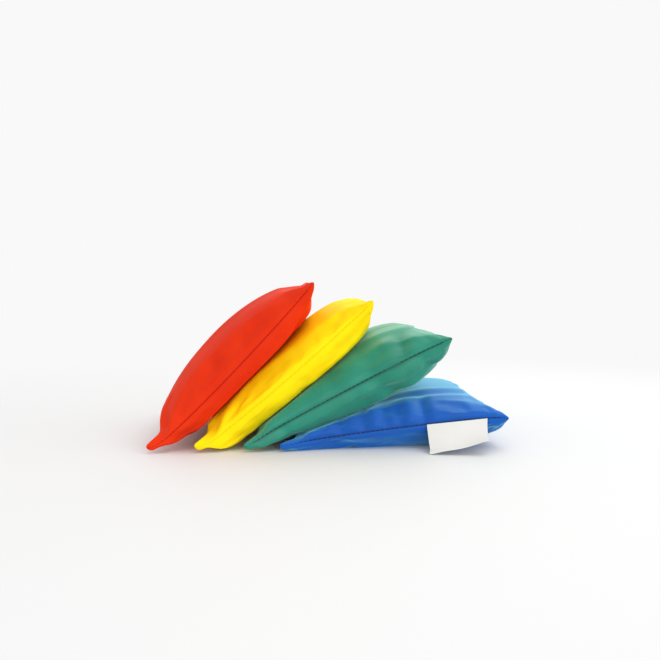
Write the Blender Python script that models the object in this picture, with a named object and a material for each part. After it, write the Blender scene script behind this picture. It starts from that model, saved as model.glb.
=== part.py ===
# Set of four toss bean bags, fanned so that each one leans on the next.
# A bag is two coated fabric panels, sewn together round the edge, turned and filled with pellets.
# Each bag is drawn in its own frame: X runs from its foot to its head, Y away from the front and
# Z out of its upper panel. The origin of that frame is the sewn tip of the front foot corner.

import math

import bmesh
import bpy
from mathutils import Matrix, Vector

# Driving dimensions, in metres
bag_side = 0.127
fabric_thickness = 0.0008
seam_allowance = 0.006
thread_diameter = 0.0005
thread_depth = 0.0006
closing_length = 0.05
clearance = 0.0003

# How far the filling draws in the middle of each side, and within what run from the corner
foot_draw = 0.0122
foot_draw_run = 0.01
head_draw = 0.004
head_draw_run = 0.012
front_draw = 0.005
front_draw_run = 0.0125

# The turned corners, or ears: round and thick at the foot, where the bag stands, and flat at the head
foot_ear_upper_reach = 0.015
foot_ear_lower_reach = 0.0085
foot_ear_half_thickness = 0.0016
foot_ear_pull = 0.0021
foot_ear_stretch = 0.0022
head_ear_reach = 0.006
head_ear_half_thickness = 0.0005
head_ear_pull = 0.0005
ear_tip_reach = 0.0062
ear_stretch_reach = 0.013
ear_bend_reach = 0.024
sag_start_reach = 0.0085
foot_ear_growth_share = 0.13
head_ear_growth_share = 0.3
ear_power = 6

# The label sewn into the front seam of the blue bag
label_width = 0.0335
label_length = 0.0184
label_thickness = 0.0005
label_fold_thickness = 0.0009
label_place_share = 0.775
label_top_angle = math.radians(30)
label_end_angle = math.radians(64)
label_steps = 6
label_round_steps = 4

# Shape of a filled panel: a low fullness is boxy, a high one pointed
edge_fullness = 1.0
sag_fullness = 1.2
press_power = 8
corner_trim_share = 0.15
panel_cells = 14
thread_bevel_steps = 1
smooth_angle = math.radians(40)

# The bags from left to right, with their lengths as shares of the bag's side. A step is the
# distance from the foot of the bag before it. Each ear that is bent is given by its corner,
# and by how far its tip has moved along the bag and out of its upper panel.
bags = [
    {
        "name": "red",
        "colour": (0.78, 0.026, 0.004),
        "foot_step_share": 0.0,
        "foot_height_share": 0.0165,
        "lean": math.radians(44.9),
        "seam_sag_share": 0.0315,
        "sag_place_share": 0.3,
        "depth_fullness": 0.8,
        "upper": {"crown_share": 0.1799, "fullest_share": 0.43, "foot_fullness": 0.75, "head_fullness": 1.15},
        "lower": {"crown_share": 0.1492, "fullest_share": 0.5, "foot_fullness": 0.75, "head_fullness": 0.95},
        "bent_ears": [
            {"corner": (0, 0), "along_share": -0.0087, "out_share": 0.0},
            {"corner": (0, 1), "along_share": -0.0669, "out_share": 0.0646},
        ],
    },
    {
        "name": "yellow",
        "colour": (0.98, 0.72, 0.003),
        "foot_step_share": 0.2008,
        "foot_height_share": 0.0173,
        "lean": math.radians(39.5),
        "seam_sag_share": 0.0315,
        "sag_place_share": 0.3,
        "depth_fullness": 0.8,
        "upper": {"crown_share": 0.1256, "fullest_share": 0.5, "foot_fullness": 0.45, "head_fullness": 1.2},
        "lower": {"crown_share": 0.165, "fullest_share": 0.5, "foot_fullness": 0.6, "head_fullness": 0.75},
        "bent_ears": [
            {"corner": (1, 0), "along_share": -0.0142, "out_share": 0.0},
            {"corner": (1, 1), "along_share": -0.0236, "out_share": -0.0236},
        ],
        "foot_contact_share": 0.24,
        "head_contact_share": 0.49,
    },
    {
        "name": "green",
        "colour": (0.014, 0.245, 0.16),
        "foot_step_share": 0.2079,
        "foot_height_share": 0.0173,
        "lean": math.radians(27.5),
        "seam_sag_share": -0.0079,
        "sag_place_share": 0.5,
        "depth_fullness": 0.7,
        "upper": {"crown_share": 0.1555, "fullest_share": 0.52, "foot_fullness": 0.6, "head_fullness": 1.05},
        "lower": {"crown_share": 0.1728, "fullest_share": 0.62, "foot_fullness": 0.45, "head_fullness": 1.3},
        "bent_ears": [{"corner": (1, 0), "along_share": 0.0079, "out_share": 0.0}],
        "foot_contact_share": 0.13,
        "head_contact_share": 0.54,
    },
    {
        "name": "blue",
        "colour": (0.003, 0.13, 0.62),
        "foot_step_share": 0.152,
        "foot_height_share": 0.0236,
        "lean": math.radians(6.4),
        "seam_sag_share": -0.0102,
        "sag_place_share": 0.7,
        "depth_fullness": 0.5,
        "upper": {"crown_share": 0.1201, "fullest_share": 0.5, "foot_fullness": 0.6, "head_fullness": 0.86},
        "lower": {"crown_share": 0.1571, "fullest_share": 0.6, "foot_fullness": 0.5, "head_fullness": 0.5},
        "bent_ears": [],
        "foot_contact_share": 0.22,
        "head_contact_share": 0.46,
    },
]
head_contact_place_share = 0.65

# Sizes that follow from the ones above
thread_radius = thread_diameter / 2
crease_half = thread_radius + clearance


def swell(share, fullest_share, fullness):
    # nothing at both ends and 1 at the fullest place
    rise = fullest_share * fullness
    fall = (1 - fullest_share) * fullness
    return (share / fullest_share) ** rise * ((1 - share) / (1 - fullest_share)) ** fall


def smaller(first, second):
    # the smaller of two heights, with a soft change from one to the other
    if first <= 0 or second <= 0:
        return 0.0
    return (first ** -press_power + second ** -press_power) ** (-1 / press_power)


def swell_along(share, shape):
    # the swell of a panel from foot to head, which may be fuller on one side of its highest place
    half = "foot" if share < shape["fullest_share"] else "head"
    return swell(share, shape["fullest_share"], shape[half + "_fullness"])


def inset_place(across, inset):
    # a place on the flat cloth moved in towards the middle, the more the nearer it is to the edge
    kept = 1 - 2 * inset / bag_side
    return [0.5 + (share - 0.5) * kept for share in across]


def corner_runs(across):
    # how far the nearest corner of the flat cloth lies, along and across
    return [min(share, 1 - share) * bag_side for share in across]


def drawn(share, run):
    # nothing at both ears and 1 between them
    length = share * bag_side
    return (1 - math.exp(-length / run)) * (1 - math.exp((length - bag_side) / run))


def bent(bag, across, direction):
    # how far the bent ears take this place with them
    total = 0.0
    for ear in bag["bent_ears"]:
        away = math.dist(across, ear["corner"]) * bag_side
        total += ear[direction] * bag_side * math.exp(-(away / ear_bend_reach) ** 2)
    return total


def plan(bag, across, inset=0.0):
    # where a place on the cloth, given as two shares of its sides, lies in the bag's own X and Y
    x_share, y_share = inset_place(across, inset)
    foot_pull = foot_draw * drawn(y_share, foot_draw_run)
    head_pull = head_draw * drawn(y_share, head_draw_run)
    front_pull = front_draw * drawn(x_share, front_draw_run)
    x = x_share * bag_side + foot_pull * (1 - x_share) - head_pull * x_share
    y = y_share * bag_side + front_pull * (1 - 2 * y_share)
    near_x, near_y = corner_runs((x_share, y_share))
    pull = foot_ear_pull if x_share < 0.5 else head_ear_pull
    stretch = foot_ear_stretch if x_share < 0.5 else 0
    pull *= max(1 - (near_x + near_y) / ear_tip_reach, 0) ** 2
    stretch *= math.exp(-(math.hypot(near_x, near_y) / ear_stretch_reach) ** 2)
    x += math.copysign(pull - stretch, 0.5 - x_share)
    y += math.copysign(pull - stretch / 2, 0.5 - y_share)
    return x + bent(bag, (x_share, y_share), "along_share"), y


def seam_height(bag, across, inset=0.0):
    spot = inset_place(across, inset)
    sag = bag["seam_sag_share"] * bag_side * swell(spot[0], bag["sag_place_share"], sag_fullness)
    sag *= 1 - math.exp(-(spot[0] * bag_side / sag_start_reach) ** 2)
    return bent(bag, spot, "out_share") - sag


def chord_point(bag, share):
    # a place on the straight line from the foot of a bag to its head, in world X and Z
    reach = bag_side * share
    return Vector((
        bag["foot_x"] + reach * math.cos(bag["lean"]),
        bag["foot_height_share"] * bag_side + reach * math.sin(bag["lean"]),
    ))


def contact_line(bag_above, bag_below):
    # two world points of the plane in which two neighbours press on each other
    places = (
        (0, bag_below["foot_contact_share"]),
        (head_contact_place_share, bag_below["head_contact_share"]),
    )
    return [
        chord_point(bag_below, place).lerp(chord_point(bag_above, place), share)
        for place, share in places
    ]


def line_height(bag, line, x):
    # height of a world line over the chord of a bag, at x along that chord
    foot = Vector((bag["foot_x"], bag["foot_height_share"] * bag_side))
    along = Vector((math.cos(bag["lean"]), math.sin(bag["lean"])))
    out = Vector((-along.y, along.x))
    start = line[0] - foot
    step = line[1] - line[0]
    rate = step.dot(out) / step.dot(along)
    return start.dot(out) + rate * (x - start.dot(along))


def ear_share(side, across):
    # 1 at the corners and nothing past the ears
    reach = head_ear_reach
    if across[0] < 0.5:
        reach = foot_ear_upper_reach if side == "upper" else foot_ear_lower_reach
    return math.exp(-(math.hypot(*corner_runs(across)) / reach) ** ear_power)


def ear_height(across):
    # a turned ear is round all about and blunt at its tip
    runs = corner_runs(across)
    run = max(runs)
    if min(runs) <= 0:
        return 0.0
    half = foot_ear_half_thickness if across[0] < 0.5 else head_ear_half_thickness
    growth_share = foot_ear_growth_share if across[0] < 0.5 else head_ear_growth_share
    tip = math.sqrt(1 - (1 - min(run / half, 1)) ** 2)
    around = math.sqrt(1 - (1 - min(runs) / run) ** 2)
    return (half + growth_share * run) * tip * around


def face_height(bag, side, across):
    # how far the cloth stands out from the edge of its crease
    shape = bag[side]
    sign = 1 if side == "upper" else -1
    x, _ = plan(bag, across)
    seam = seam_height(bag, across)
    height = shape["crown_share"] * bag_side * swell_along(across[0], shape)
    height *= swell(across[1], 0.5, bag["depth_fullness"])
    ear = ear_share(side, across)
    height = height * (1 - ear) + ear_height(across) * ear
    if bag[side + "_line"]:
        room = sign * (line_height(bag, bag[side + "_line"], x) - seam)
        height = smaller(height, room - crease_half - clearance / 2)
    if side == "lower":
        floor = [Vector((0, 0)), Vector((1, 0))]
        room = seam - line_height(bag, floor, x)
        height = min(height, room - crease_half)
    return height


def trim(across):
    # the seam allowance narrows and thins towards the corners, where it is clipped before turning
    along = max(swell(across[0], 0.5, edge_fullness), swell(across[1], 0.5, edge_fullness))
    return corner_trim_share + (1 - corner_trim_share) * along


def fill_share(across):
    return swell(across[0], 0.5, edge_fullness) * swell(across[1], 0.5, edge_fullness)


# Each layer of a skin is given as how far it lies in from the edge, and how far out from the seam
def outer_face(bag, side, across):
    return 0.0, crease_half + face_height(bag, side, across)


def allowance_edge(bag, side, across):
    return fabric_thickness + seam_allowance * trim(across), crease_half


def allowance_back(bag, side, across):
    thinned = trim(across)
    return fabric_thickness + seam_allowance * thinned, crease_half + fabric_thickness * thinned


def inner_face(bag, side, across):
    height = face_height(bag, side, across) - fabric_thickness * fill_share(across)
    return fabric_thickness, crease_half + max(height, fabric_thickness * trim(across))


def filling_face(bag, side, across):
    # the pellets keep out of the seam allowances and the ears
    inset = (fabric_thickness + seam_allowance + clearance) * (1 - fill_share(across))
    slack = (clearance + fabric_thickness) * (1 + fill_share(across))
    return inset, crease_half + max(face_height(bag, side, across) - slack, clearance)


def even_arc_share(share):
    # closer steps near the seam, where the cloth turns most
    return (1 - math.cos(math.pi * share)) / 2


def place(bag, side, layer, across):
    inset, out = layer(bag, side, across)
    x, y = plan(bag, across, inset)
    sign = 1 if side == "upper" else -1
    return Vector((x, y, seam_height(bag, across, inset) + sign * out))


def cloth_grid(mesh, shares, bag, side, layer):
    made = bmesh.ops.create_grid(mesh, x_segments=panel_cells, y_segments=panel_cells, size=0.5)
    for vertex in made["verts"]:
        across = (even_arc_share(vertex.co.x + 0.5), even_arc_share(vertex.co.y + 0.5))
        vertex[shares] = (*across, 0)
        vertex.co = place(bag, side, layer, across)
    return made["verts"]


def skin(name, bag, layers):
    # a closed skin: the first and last layers are whole faces, those between run round the edge
    mesh = bmesh.new()
    shares = mesh.verts.layers.float_vector.new("shares")
    first_side, first_layer = layers[0]
    cloth_grid(mesh, shares, bag, first_side, first_layer)
    rim = [edge for edge in mesh.edges if edge.is_boundary]
    for side, layer in layers[1:]:
        made = bmesh.ops.extrude_edge_only(mesh, edges=rim)["geom"]
        rim = [item for item in made if isinstance(item, bmesh.types.BMEdge) and item.is_boundary]
        for vertex in made:
            if isinstance(vertex, bmesh.types.BMVert):
                vertex.co = place(bag, side, layer, vertex[shares].xy)
    last_side, last_layer = layers[-1]
    cloth_grid(mesh, shares, bag, last_side, last_layer)
    bmesh.ops.remove_doubles(mesh, verts=mesh.verts, dist=clearance / 100)
    mesh.verts.layers.float_vector.remove(shares)
    return mesh_object(name, mesh)


def mesh_object(name, mesh):
    bmesh.ops.recalc_face_normals(mesh, faces=mesh.faces)
    if mesh.calc_volume(signed=True) < 0:
        bmesh.ops.reverse_faces(mesh, faces=mesh.faces)
    data = bpy.data.meshes.new(name)
    mesh.to_mesh(data)
    mesh.free()
    data.shade_smooth()
    data.set_sharp_from_angle(angle=smooth_angle)
    made = bpy.data.objects.new(name, data)
    bpy.context.scene.collection.objects.link(made)
    return made


def fabric_material(name, colour, roughness):
    material = bpy.data.materials.new(name)
    material.use_nodes = True
    shader = material.node_tree.nodes["Principled BSDF"]
    shader.inputs["Base Color"].default_value = (*colour, 1)
    shader.inputs["Roughness"].default_value = roughness
    shader.inputs["Metallic"].default_value = 0
    return material


def panel(bag, side):
    layers = [(side, outer_face), (side, allowance_edge), (side, allowance_back), (side, inner_face)]
    made = skin(bag["name"] + "_" + side + "_panel", bag, layers)
    made.data.materials.append(fabric_material(made.name, bag["colour"], 0.35))
    return made


def filling(bag):
    layers = [("upper", filling_face), ("lower", filling_face)]
    made = skin(bag["name"] + "_pellet_filling", bag, layers)
    made.data.materials.append(fabric_material(made.name, (0.8, 0.8, 0.78), 0.6))
    return made


def crease_shares():
    # the edge of a panel as shares, from the middle of the back, round to the middle again
    steps = [even_arc_share(step / panel_cells) for step in range(panel_cells + 1)]
    middle = panel_cells // 2
    back = [(share, 1) for share in steps]
    foot = [(0, share) for share in steps]
    front = [(share, 0) for share in steps]
    head = [(1, share) for share in steps]
    before = back[middle:0:-1]
    after = back[-1:middle - 1:-1]
    return before + foot[:0:-1] + front[:-1] + head[:-1] + after


def crease_route(bag, shares):
    route = []
    for across in shares:
        x, y = plan(bag, across, thread_depth)
        route.append(Vector((x, y, seam_height(bag, across, thread_depth))))
    return route


def thread(name, route):
    curve = bpy.data.curves.new(name, "CURVE")
    curve.dimensions = "3D"
    curve.bevel_depth = thread_radius
    curve.bevel_resolution = thread_bevel_steps
    curve.use_fill_caps = True
    line = curve.splines.new("POLY")
    line.points.add(len(route) - 1)
    for point, spot in zip(line.points, route):
        point.co = (*spot, 1)
    made = bpy.data.objects.new(name, curve)
    bpy.context.scene.collection.objects.link(made)
    return made


def threads(bag):
    # the closing run takes the middle of the back, and the seam thread all the rest
    half_gap_share = closing_length / bag_side / 2
    end_gap_share = (thread_diameter + clearance) / bag_side
    around = [spot for spot in crease_shares() if spot[1] < 1 or abs(spot[0] - 0.5) > half_gap_share]
    around.insert(0, (0.5 - half_gap_share - end_gap_share, 1))
    around.append((0.5 + half_gap_share + end_gap_share, 1))
    across = [(0.5 - half_gap_share, 1)]
    across += [spot for spot in crease_shares() if spot[1] == 1 and abs(spot[0] - 0.5) < half_gap_share]
    across.append((0.5 + half_gap_share, 1))
    across.sort()
    made = [
        thread(bag["name"] + "_seam_thread", crease_route(bag, around)),
        thread(bag["name"] + "_closing_thread", crease_route(bag, across)),
    ]
    for item in made:
        dark = tuple(channel / 2 for channel in bag["colour"])
        item.data.materials.append(fabric_material(item.name, dark, 0.7))
    return made


def label_profile():
    # a strip that bends out from straight down, thicker at the fold at its end
    centre = Vector((0, 0))
    spine = []
    for step in range(label_steps + 1):
        share = step / label_steps
        angle = label_top_angle + (label_end_angle - label_top_angle) * share
        down = Vector((-math.sin(angle), -math.cos(angle)))
        half = (label_thickness + (label_fold_thickness - label_thickness) * share) / 2
        spine.append((centre.copy(), down, half))
        centre += down * label_length / label_steps
    front = [point + Vector((down.y, -down.x)) * half for point, down, half in spine]
    back = [point - Vector((down.y, -down.x)) * half for point, down, half in spine]
    return front + round_end(spine[-1], 1) + back[::-1] + round_end(spine[0], -1)


def round_end(end, sign):
    # the points between the two faces of the strip, round one of its ends
    point, down, half = end
    out = Vector((down.y, -down.x)) * sign
    points = []
    for step in range(1, label_round_steps):
        turn = math.pi * step / label_round_steps
        points.append(point + (out * math.cos(turn) + down * sign * math.sin(turn)) * half)
    return points


def side_label(bag):
    # an empty on the seam carries the label, with its X along the seam and its Z upwards
    half_share = label_width / bag_side / 2
    ends = []
    for share in (label_place_share - half_share, label_place_share + half_share):
        across = (share, 0)
        x, y = plan(bag, across)
        ends.append(Vector((x, y - clearance, seam_height(bag, across))))
    along = (ends[1] - ends[0]).normalized()
    up = Matrix.Rotation(bag["lean"], 3, "Y") @ Vector((0, 0, 1))
    inward = up.cross(along).normalized()
    up = along.cross(inward)
    hinge = empty("side_label_hinge", bag["frame"])
    axes = Matrix((along, inward, up)).transposed()
    hinge.matrix_local = Matrix.Translation((ends[0] + ends[1]) / 2) @ axes.to_4x4()
    mesh = bmesh.new()
    outline = [mesh.verts.new((-label_width / 2, y, z)) for y, z in label_profile()]
    face = mesh.faces.new(outline)
    pulled = bmesh.ops.extrude_face_region(mesh, geom=[face])["geom"]
    moved = [item for item in pulled if isinstance(item, bmesh.types.BMVert)]
    bmesh.ops.translate(mesh, verts=moved, vec=(label_width, 0, 0))
    made = mesh_object("side_label", mesh)
    made.parent = hinge
    made.data.materials.append(fabric_material(made.name, (0.86, 0.85, 0.82), 0.8))


def empty(name, parent=None):
    made = bpy.data.objects.new(name, None)
    bpy.context.scene.collection.objects.link(made)
    made.empty_display_size = bag_side / 4
    made.parent = parent
    return made


def lay_out():
    # the bags stand in a row on the floor, and neighbours share the plane they press in
    foot_x = 0.0
    for bag in bags:
        foot_x += bag["foot_step_share"] * bag_side
        bag["foot_x"] = foot_x
        bag["upper_line"] = None
        bag["lower_line"] = None
    for above, below in zip(bags, bags[1:]):
        line = contact_line(above, below)
        above["lower_line"] = line
        below["upper_line"] = line


def make_bag(bag):
    bag["frame"] = empty(bag["name"] + "_bag_frame")
    bag["frame"].location = (bag["foot_x"], 0, bag["foot_height_share"] * bag_side)
    bag["frame"].rotation_euler = (0, -bag["lean"], 0)
    made = [panel(bag, "upper"), panel(bag, "lower"), filling(bag)] + threads(bag)
    for item in made:
        item.parent = bag["frame"]


def centre_over_origin():
    # the middle of the set's footprint goes to the origin
    bpy.context.view_layer.update()
    spots = []
    for item in bpy.context.scene.objects:
        if item.type == "MESH":
            spots += [item.matrix_world @ vertex.co for vertex in item.data.vertices]
    middle_x = (min(spot.x for spot in spots) + max(spot.x for spot in spots)) / 2
    middle_y = (min(spot.y for spot in spots) + max(spot.y for spot in spots)) / 2
    for bag in bags:
        bag["frame"].location -= Vector((middle_x, middle_y, 0))


def main():
    for item in list(bpy.data.objects):
        bpy.data.objects.remove(item)
    lay_out()
    for bag in bags:
        make_bag(bag)
    side_label(bags[-1])
    centre_over_origin()


main()
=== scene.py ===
import math
import bpy
import numpy as np
from mathutils import Matrix, Vector


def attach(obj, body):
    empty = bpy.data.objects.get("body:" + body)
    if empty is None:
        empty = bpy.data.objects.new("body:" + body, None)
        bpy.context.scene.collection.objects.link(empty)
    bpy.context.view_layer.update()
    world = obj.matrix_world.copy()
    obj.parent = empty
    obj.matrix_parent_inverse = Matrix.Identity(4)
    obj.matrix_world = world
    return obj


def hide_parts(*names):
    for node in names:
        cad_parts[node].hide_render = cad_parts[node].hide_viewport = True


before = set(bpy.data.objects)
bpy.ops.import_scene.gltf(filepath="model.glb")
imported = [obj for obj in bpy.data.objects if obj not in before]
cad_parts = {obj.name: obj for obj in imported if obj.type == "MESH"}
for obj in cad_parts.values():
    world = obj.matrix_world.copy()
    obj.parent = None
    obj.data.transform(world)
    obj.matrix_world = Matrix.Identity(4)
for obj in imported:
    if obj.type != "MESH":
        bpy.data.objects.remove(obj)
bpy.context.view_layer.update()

tiny = 1e-7               # metres, against a division by nothing

# What every bag shares, in metres: the sewn square, its crease and its turned ears
bagMake = {
    "side": 0.127,            # ear tip to ear tip
    "footDraw": 0.0122,       # how far the filling pulls in the middle of each side
    "footDrawRun": 0.0100,
    "headDraw": 0.0040,
    "headDrawRun": 0.0120,
    "frontDraw": 0.0050,
    "frontDrawRun": 0.0125,
    "sagFullness": 1.2,
    "sagStart": 0.0064,
    "pressPower": 8,          # how sharply a face turns flat where it meets its neighbour
    "footEar": {
        "reach": 0.0150, "lowerReach": 0.0080, "half": 0.0018, "lowerHalf": 0.0023,
        "growth": 0.05, "lowerGrowth": 0.32, "tipPull": 0.0021, "stretch": 0.0022,
    },
    "headEar": {
        "reach": 0.0060, "lowerReach": 0.0060, "half": 0.0005, "lowerHalf": 0.0005,
        "tipPull": 0.0005, "stretch": 0.0,
    },
    "earPower": 6,
    "tipReach": 0.0062,
    "stretchReach": 0.013,
    "footFillRun": 0.020,
    "creaseDepth": 0.0008,
    "creaseReach": 0.0012,
    "cells": 104,
    "rowBunching": 0.35,      # rows drawn together at the seam
    "weld": 0.000004,
    "gap": 0.0004,            # kept to a neighbour
    "leastRoom": 1e-5,
    "headContact": 0.65,      # share along the bag where the second contact point lies
}

# Each bag: where its front foot ear stands, how it leans, and how its seam sags. A face is its
# crown, the share along where it is fullest, and its fullness towards foot and head. The depth
# fullness is that of the upper and lower face from front to back, the foot fill is how much
# fuller the lower face stands at the foot, and the contact is the share of the way up to the bag
# above at which the two meet, at foot and head. A bent ear is given by its end along and across
# (0 or 1), how far it moves, and how far the bend reaches
bagPlaces = {
    "red": {
        "foot": (-0.09243, -0.05807, 0.0029), "lean": 44.9, "sag": 0.004, "sagShare": 0.3,
        "depthFullness": (0.8, 0.8), "footFill": 0.2, "headEarShare": 1.0, "contact": None,
        "upper": (0.0234, 0.43, 0.82, 1.15), "lower": (0.0195, 0.5, 0.64, 0.95),
        "ears": [(0, 0, -0.0002, 0.0, 0.0, 0.013), (0, 1, -0.0075, 0.0, 0.0075, 0.017)],
    },
    "yellow": {
        "foot": (-0.06693, -0.05807, 0.0030), "lean": 39.5, "sag": 0.004, "sagShare": 0.3,
        "depthFullness": (0.8, 0.8), "footFill": 0.45, "headEarShare": 1.0, "contact": (0.24, 0.49),
        "upper": (0.0165, 0.5, 0.45, 1.2), "lower": (0.0215, 0.5, 0.48, 0.75),
        "ears": [(1, 0, -0.0018, 0.0, 0.0, 0.02), (1, 1, -0.003, 0.0, -0.003, 0.02)],
    },
    "green": {
        "foot": (-0.04052, -0.05807, 0.0030), "lean": 27.5, "sag": -0.001, "sagShare": 0.5,
        "depthFullness": (0.7, 0.52), "footFill": 0.3, "headEarShare": 0.74, "contact": (0.13, 0.54),
        "upper": (0.0203, 0.52, 0.6, 1.05), "lower": (0.0225, 0.62, 0.38, 1.05),
        "ears": [(1, 0, 0.001, 0.0, 0.0, 0.02)],
    },
    "blue": {
        "foot": (-0.02122, -0.05807, 0.0034), "lean": 6.4, "sag": -0.0013, "sagShare": 0.7,
        "depthFullness": (0.5, 0.8), "footFill": 0.0, "headEarShare": 1.0, "contact": (0.26, 0.53),
        "upper": (0.0158, 0.5, 0.6, 0.86), "lower": (0.0205, 0.6, 0.5, 0.5),
        "ears": [],
    },
}
bagOrder = ["red", "yellow", "green", "blue"]  # from the top of the fan to the bottom
sideSign = {"upper": 1, "lower": -1}

# How a short cloth simulation puffs a cover, from a start a little flatter than the bag
puffMake = {
    "startShare": 0.975,      # crown at the start
    "pressure": 2.0,
    "frames": 20,
    "cap": 0.0035,            # furthest that the cloth may move
    "shrink": -0.004,         # negative: the cloth is cut larger than its seam
    "mass": 0.3,
    "stretch": 20,
    "shear": 8,
    "bending": 4.0,
    "quality": 4,
    "heldShare": 0.0006,      # held fast this near the seam, as a share of the side
    "heldFade": 0.004,
}

# Small puckers along the seams: three waves, each with its strength, its rate, and how far it
# shifts from bag to bag and from the upper face to the lower
puckerMake = {
    "length": 0.0115, "reach": 0.0050, "height": 0.00013, "fadeHeight": 0.0025, "startStep": 1.7,
    "waves": [(1.0, 1.0, 1.0, 1), (0.6, 0.61, 2.1, 0), (0.4, 1.73, -1.0, 0)],
}

# Soft dents and folds: side, place along and across (shares), turn (degrees), half length,
# half width and height in metres
bagFolds = {
    "red": [
        ("lower", 0.14, 0.07, 62, 0.012, 0.0035, -0.0018),
        ("lower", 0.8, 0.14, -30, 0.014, 0.0045, -0.0018),
        ("upper", 0.62, 0.35, 12, 0.05, 0.006, 0.0012),
        ("upper", 0.2, 0.08, 80, 0.010, 0.005, -0.0006),
        ("upper", 0.45, 0.08, 80, 0.012, 0.009, -0.0006),
    ],
    "yellow": [
        ("lower", 0.17, 0.07, 60, 0.009, 0.0030, -0.0006),
        ("lower", 0.27, 0.08, 70, 0.009, 0.0040, -0.0005),
        ("lower", 0.5, 0.08, 80, 0.010, 0.0050, -0.0007),
        ("upper", 0.24, 0.07, 24, 0.012, 0.0022, -0.0011),
        ("upper", 0.31, 0.09, 30, 0.009, 0.0030, 0.0007),
        ("upper", 0.75, 0.4, 10, 0.04, 0.006, 0.0012),
        ("upper", 0.84, 0.1, 35, 0.012, 0.0035, -0.0008),
    ],
    "green": [
        ("upper", 0.78, 0.22, 4, 0.035, 0.005, 0.0018),
        ("upper", 0.62, 0.42, 14, 0.04, 0.006, -0.0020),
        ("upper", 0.80, 0.07, 70, 0.010, 0.0034, -0.0017),
        ("upper", 0.73, 0.08, 75, 0.010, 0.0040, 0.0013),
        ("upper", 0.62, 0.08, 85, 0.011, 0.0045, -0.0014),
        ("upper", 0.46, 0.07, 85, 0.010, 0.0045, -0.0011),
        ("lower", 0.66, 0.07, 48, 0.014, 0.0046, -0.0022),
        ("lower", 0.75, 0.07, 52, 0.012, 0.0046, 0.0011),
        ("lower", 0.87, 0.06, 60, 0.010, 0.0034, -0.0022),
        ("lower", 0.55, 0.07, 55, 0.010, 0.0040, -0.0014),
        ("lower", 0.2, 0.06, 60, 0.010, 0.0030, -0.0014),
    ],
    "blue": [
        ("upper", 0.375, 0.06, 82, 0.009, 0.0026, -0.0019),
        ("upper", 0.42, 0.07, 85, 0.009, 0.0034, 0.0013),
        ("upper", 0.47, 0.07, 80, 0.010, 0.0026, -0.0018),
        ("upper", 0.53, 0.06, 100, 0.009, 0.0026, -0.0016),
        ("upper", 0.57, 0.07, 85, 0.010, 0.0034, 0.0016),
        ("upper", 0.64, 0.07, 84, 0.011, 0.0024, -0.0029),
        ("upper", 0.27, 0.06, 75, 0.009, 0.0028, -0.0016),
        ("upper", 0.70, 0.15, 8, 0.030, 0.0038, 0.0011),
        ("upper", 0.70, 0.22, 8, 0.030, 0.0042, -0.0013),
        ("upper", 0.74, 0.29, 12, 0.030, 0.0042, 0.0010),
        ("lower", 0.26, 0.05, 28, 0.010, 0.0030, -0.0018),
        ("lower", 0.52, 0.05, 10, 0.014, 0.0026, -0.0010),
    ],
}


def say(words):
    print("scene:", words)


def onlyThis(item):
    bpy.ops.object.select_all(action="DESELECT")
    item.select_set(True)
    bpy.context.view_layer.objects.active = item


# The shape of a filled bag, in its own frame: x from foot to head, y away, z out of the upper panel
def swell(share, fullest, fullness):
    # 0 at both ends and 1 where the face is fullest
    share = np.clip(share, 0.0, 1.0)
    rise = (share / fullest) ** (fullest * fullness)
    return rise * ((1 - share) / (1 - fullest)) ** ((1 - fullest) * fullness)


def swellAlong(share, fullest, footFullness, headFullness):
    towardsFoot = swell(share, fullest, footFullness)
    return np.where(share < fullest, towardsFoot, swell(share, fullest, headFullness))


def earRuns(xShare, yShare):
    # how far along and across the nearest corner lies
    side = bagMake["side"]
    nearX = np.minimum(xShare, 1 - xShare) * side
    nearY = np.minimum(yShare, 1 - yShare) * side
    return nearX, nearY


def drawn(share, run):
    # 0 at both ears and 1 between them, where the filling has pulled the side in
    side = bagMake["side"]
    return (1 - np.exp(-share * side / run)) * (1 - np.exp(-(1 - share) * side / run))


def earValue(key, xShare):
    return np.where(xShare < 0.5, bagMake["footEar"][key], bagMake["headEar"][key])


def planOf(place, xShare, yShare):
    # the side seams drawn in between the ears, the ear tips rounded, and some ears moved
    side = bagMake["side"]
    footPull = bagMake["footDraw"] * drawn(yShare, bagMake["footDrawRun"])
    headPull = bagMake["headDraw"] * drawn(yShare, bagMake["headDrawRun"])
    frontPull = bagMake["frontDraw"] * drawn(xShare, bagMake["frontDrawRun"])
    x = xShare * side + footPull * (1 - xShare) - headPull * xShare
    y = yShare * side + frontPull * (1 - 2 * yShare)
    nearX, nearY = earRuns(xShare, yShare)
    rounding = np.clip(1 - (nearX + nearY) / bagMake["tipReach"], 0, 1) ** 2
    rounding = rounding * earValue("tipPull", xShare)
    stretch = np.exp(-(nearX ** 2 + nearY ** 2) / bagMake["stretchReach"] ** 2)
    stretch = stretch * earValue("stretch", xShare)
    x = x + (rounding - stretch) * np.sign(0.5 - xShare)
    y = y + (rounding - stretch * 0.5) * np.sign(0.5 - yShare)
    z = seamHeight(place, xShare)
    for xEnd, yEnd, dx, dy, dz, reach in place["ears"]:
        far = ((xShare - xEnd) ** 2 + (yShare - yEnd) ** 2) * side ** 2
        move = np.exp(-far / reach ** 2)
        x, y, z = x + dx * move, y + dy * move, z + dz * move
    return x, y, z


def seamHeight(place, xShare):
    # the seam sags, or rises, between the two ears
    start = 1 - np.exp(-((xShare * bagMake["side"] / bagMake["sagStart"]) ** 2))
    return -place["sag"] * start * swell(xShare, place["sagShare"], bagMake["sagFullness"])


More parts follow.
